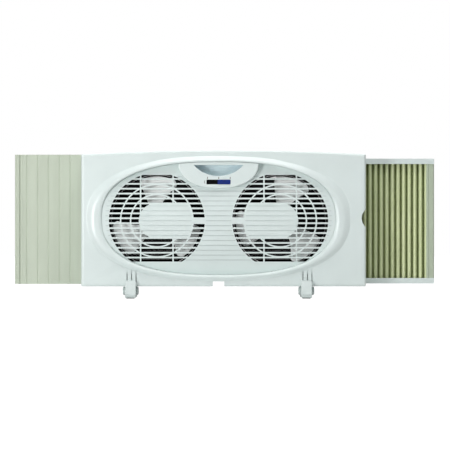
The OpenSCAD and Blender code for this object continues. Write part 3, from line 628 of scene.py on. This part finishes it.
def louvres(tree, size):
    """Tilted louvres and two upright bars, cut to the inside of a round frame."""
    slat = rounded_bar(tree, (-0.5, 0, 0), (0.5, 0, 0), size["Slat thickness"],
                       size["Slat width"], size["Slat thickness"] * SLAT_ROUND)
    line = add(tree, "GeometryNodeMeshLine", {
        "Count": size["Rows"] * 2 + 1,
        "Start Location": joined(tree, 0.0, 0.0, size["Rows"] * size["Pitch"] * -1.0),
        "Offset": joined(tree, 0.0, 0.0, size["Pitch"])})
    rows = add(tree, "GeometryNodeInstanceOnPoints", {
        "Points": line.outputs["Mesh"], "Instance": slat,
        "Rotation": joined(tree, size["Tilt"] * DEGREE, 0.0, 0.0)})
    loose = add(tree, "GeometryNodeRealizeInstances", {0: rows.outputs[0]})
    along, depth, height = split(tree, add(tree, "GeometryNodeInputPosition").outputs[0])
    square = size["Radius"] * size["Radius"]
    chord = (square - height * height).math("MAXIMUM", 0.0).math("SQRT") * 2.0
    cut = add(tree, "GeometryNodeSetPosition", {
        "Geometry": loose.outputs[0], "Position": joined(tree, along * chord, depth, height)})
    bar = rounded_bar(tree, (0, 0, -0.5), (0, 0, 0.5), BAR_WIDE, BAR_DEEP, BAR_ROUND)
    pair = add(tree, "GeometryNodeMeshLine", {
        "Count": 2, "Start Location": joined(tree, size["Bar"] * -1.0, 0.0, 0.0),
        "Offset": joined(tree, size["Bar"] * 2.0, 0.0, 0.0)})
    tall = (square - size["Bar"] * size["Bar"]).math("SQRT") * 2.0
    bars = add(tree, "GeometryNodeInstanceOnPoints", {
        "Points": pair.outputs["Mesh"], "Instance": bar,
        "Scale": joined(tree, 1.0, 1.0, tall)})
    both = add(tree, "GeometryNodeJoinGeometry", {0: cut.outputs[0]})
    tree.links.new(bars.outputs[0], both.inputs[0])
    return both.outputs[0]


def clean(piece):
    """Merges what touches and turns the faces outwards."""
    shape = bmesh.new()
    shape.from_mesh(piece.data)
    merge(shape, SAME_POINT)
    face_outwards(shape)
    smooth(written(shape, piece.data), LOUVRE_ANGLE)


for side in ("left", "right"):
    low, high, middle = span(side + "_rear_grille")
    radius = (high.x - low.x) / 2
    slats = grown(side + "_louvres", {**SLAT_SIZES, "Radius": radius - RING_WALL / 2 * MM},
                  louvres, FINISHES["inner_black"])
    clean(slats)
    slats.data.transform(Matrix.Translation(middle))
    ring, deep = radius / MM, (high.y - low.y) / 2 / MM
    inside, soft = ring - RING_WALL, RING_WALL - RING_SOFT
    frame_ring = lathe(side + "_louvre_frame", [
        (inside, RING_SOFT - deep), (ring - soft, -deep), (ring - RING_SOFT, -deep),
        (ring, RING_SOFT - deep), (ring, deep - RING_SOFT), (ring - RING_SOFT, deep),
        (ring - soft, deep), (inside, deep - RING_SOFT)],
        middle, FINISHES["inner_black"], steps=96)
    place_piece(fused([slats, frame_ring], side + "_back_louvres", FINISHES["inner_black"]),
                side + "_rear_grille")


# ---------------------------------------------------------------- printed marks

# Millimetres from the middle of the slot, and the bow's turn in degrees
TICKS_AT = -22, 0.5, 23.5
TICK_HALF, TICK_LOW, TICK_HIGH = 0.7, 6, 10.2
BOW_AT, BOW_OUT, BOW_IN = -25, 3.8, 2.8
BOW_TURN = range(118, 243, 12)
INK_HALF = 0.04 * MM


def printed(name, outlines, y, finish, body):
    """Ink on a face that looks along -y: each outline is a list of (x, z) in metres."""
    shape = bmesh.new()
    for outline in outlines:
        front = [shape.verts.new((x, y - INK_HALF, z)) for x, z in outline]
        back = [shape.verts.new((x, y + INK_HALF, z)) for x, z in outline]
        shape.faces.new(front)
        shape.faces.new(back[::-1])
        for (a, b), (c, d) in zip(looped(front), looped(back)):
            shape.faces.new((a, b, d, c))
    face_outwards(shape)
    piece = new_piece(name, written(shape, bpy.data.meshes.new(name)), finish)
    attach(piece, body)


INK = moulded("printed_ink", (120, 112, 104), (104, 98, 92), (0.45, 0.6), mottle=300)
middle = span("switch_body")[2]
slot_x, slot_z = middle.x, middle.z
marks = []
for x in TICKS_AT:
    left, right = slot_x + (x - TICK_HALF) * MM, slot_x + (x + TICK_HALF) * MM
    foot, top = slot_z + TICK_LOW * MM, slot_z + TICK_HIGH * MM
    marks.append([(left, foot), (right, foot), (right, top), (left, top)])
bow = [math.radians(a) for a in BOW_TURN]
marks.append([(slot_x + BOW_AT * MM + r * MM * math.cos(a), slot_z + r * MM * math.sin(a))
              for r, turns in ((BOW_OUT, bow), (BOW_IN, bow[::-1])) for a in turns])
printed("speed_marks", marks, span("control_pod")[0].y, INK, "case")


# ---------------------------------------------------------------- studio

AMBIENT = 0.15
FLOOR = 12.0
PAPER = 0.9
PAPER_GLOW = 1.1
SHADOW_REACH = 0.35, 0.9
SHADOW_GLOW = 0.88


def seen_by_camera(tree):
    """1 where the camera or a clear reflection sees a surface, 0 for the light that it gives."""
    path = add(tree, "ShaderNodeLightPath")
    return Value(tree, path.outputs["Is Camera Ray"]).math(
        "MAXIMUM", Value(tree, path.outputs["Is Glossy Ray"])).math(
        "MAXIMUM", Value(tree, path.outputs["Is Transmission Ray"]))


world = bpy.data.worlds.new("studio")
scene.world = world
tree = fresh_tree(world)
strength = seen_by_camera(tree) * (1 - AMBIENT) + AMBIENT
sky = add(tree, "ShaderNodeBackground", {"Color": (1, 1, 1, 1), "Strength": strength})
add(tree, "ShaderNodeOutputWorld", {0: sky.outputs[0]})

floor_mesh = bpy.data.meshes.new("studio_floor")
floor_mesh.from_pydata([(-FLOOR, -FLOOR, 0), (FLOOR, -FLOOR, 0), (FLOOR, FLOOR, 0),
                        (-FLOOR, FLOOR, 0)], [], [(0, 1, 2, 3)])
paper = bpy.data.materials.new("studio_paper")
tree = fresh_tree(paper)
lit = add(tree, "ShaderNodeBsdfDiffuse", {"Color": (PAPER, PAPER, PAPER, 1)})
glow = add(tree, "ShaderNodeEmission", {"Color": (1, 1, 1, 1), "Strength": PAPER_GLOW})
place = add(tree, "ShaderNodeTexCoord").outputs["Object"]
reach = add(tree, "ShaderNodeVectorMath", {0: place}, operation="LENGTH").outputs["Value"]
white = ranged(tree, reach, *SHADOW_REACH, low=SHADOW_GLOW, interpolation_type="SMOOTHSTEP")
mixed = add(tree, "ShaderNodeMixShader", {
    0: seen_by_camera(tree) * white, 1: lit.outputs[0], 2: glow.outputs[0]})
add(tree, "ShaderNodeOutputMaterial", {0: mixed.outputs[0]})
floor = new_piece("studio_floor", floor_mesh, paper)


def softbox(name, azimuth, elevation, distance, size, power):
    """A square lamp that looks at the middle of the fan; azimuth 0 is in front of it, 90 on the
    picture's right."""
    lamp = placed(name, bpy.data.lights.new(name, "AREA"))
    lamp.data.size = size
    lamp.data.energy = power
    a, e = math.radians(azimuth), math.radians(elevation)
    away = Vector((math.sin(a) * math.cos(e), -math.cos(a) * math.cos(e), math.sin(e)))
    lamp.location = Vector((0, 0, VIEW_Z)) + away * distance
    lamp.rotation_mode = "QUATERNION"
    lamp.rotation_quaternion = (-away).to_track_quat("-Z", "Y")


softbox("key_light", azimuth=-34, elevation=0, distance=2.2, size=0.6, power=22.7)
softbox("top_light", azimuth=4, elevation=66, distance=2.4, size=1.6, power=37)
softbox("back_light", azimuth=176, elevation=48, distance=2.6, size=1.4, power=20)
